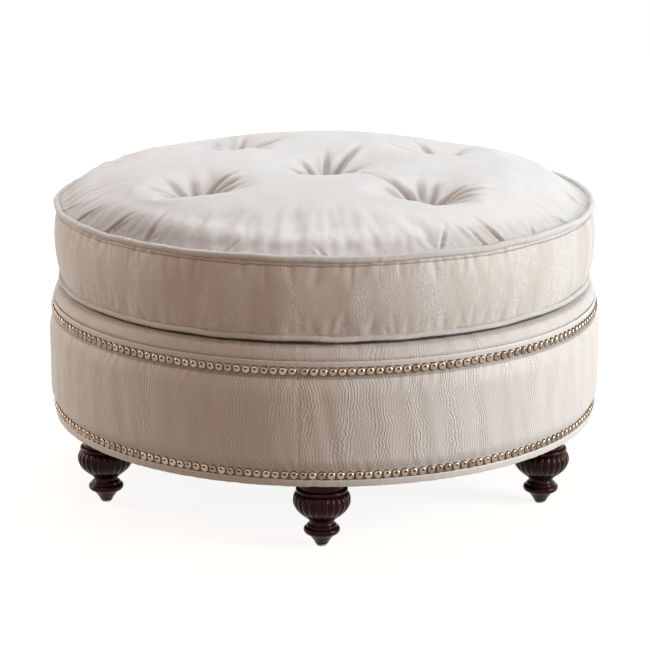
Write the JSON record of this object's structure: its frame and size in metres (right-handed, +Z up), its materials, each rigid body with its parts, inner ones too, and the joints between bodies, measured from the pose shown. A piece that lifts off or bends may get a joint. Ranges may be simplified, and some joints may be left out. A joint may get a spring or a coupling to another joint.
{
  "type": "round ottoman",
  "caption": "Low round ottoman: silk-covered drum edged with domed nails, lobed turned legs, and a boxed, piped seat cushion with deep tufts that lifts off.",
  "frame": {"origin": "centre of the ottoman on the floor, under the axis of the drum", "axes": "+Z up along the drum's axis; -Y is the front, where one leg and the skirt's seam face"},
  "size_m": [0.7752, 0.7752, 0.436],
  "materials": {
    "silk": "satin",
    "lining": "matte",
    "wadding": "matte",
    "foam": "matte",
    "plywood": "matte",
    "softwood": "matte",
    "mahogany": "gloss",
    "nail_pewter": "satin",
    "zinc_steel": "satin",
    "dust_cloth": "matte",
    "glide_nylon": "satin",
    "twine": "matte",
    "button_nylon": "satin"
  },
  "bodies": {
    "base": {"bottom_board": "plywood", "deck_board": "plywood", "frame_screws": "zinc_steel", "drum_skin": "plywood", "skirt_padding": "wadding", "skirt_cover": "silk", "upper_border_band": "silk", "lower_border_band": "silk", "upper_nails": "nail_pewter", "lower_nails": "nail_pewter", "deck_pad": "foam", "deck_cover": "silk", "dust_cover": "dust_cloth", "dust_cover_staples": "zinc_steel", "leg_glides": "glide_nylon", "leg_hanger_bolts": "zinc_steel", "leg_tee_nuts": "zinc_steel", "leg_1": "mahogany", "leg_2": "mahogany", "leg_3": "mahogany", "leg_4": "mahogany", "leg_5": "mahogany", "leg_6": "mahogany", "frame_post_1": "softwood", "frame_post_2": "softwood", "frame_post_3": "softwood", "frame_post_4": "softwood", "frame_post_5": "softwood", "frame_post_6": "softwood"},
    "cushion": {"cushion_top_panel": "silk", "cushion_boxing": "silk", "cushion_bottom_panel": "lining", "cushion_foam_core": "foam", "cushion_fibre_pad": "wadding", "top_piping": "silk", "top_piping_filler": "wadding", "bottom_piping": "silk", "bottom_piping_filler": "wadding", "tuft_buttons": "silk", "tuft_twines": "twine", "underside_buttons": "button_nylon"}
  },
  "joints": [
    {"name": "cushion_lift", "type": "slide", "parent": "base", "child": "cushion", "axis": [0, 0, 1], "range_m": [0, 0.3]}
  ]
}
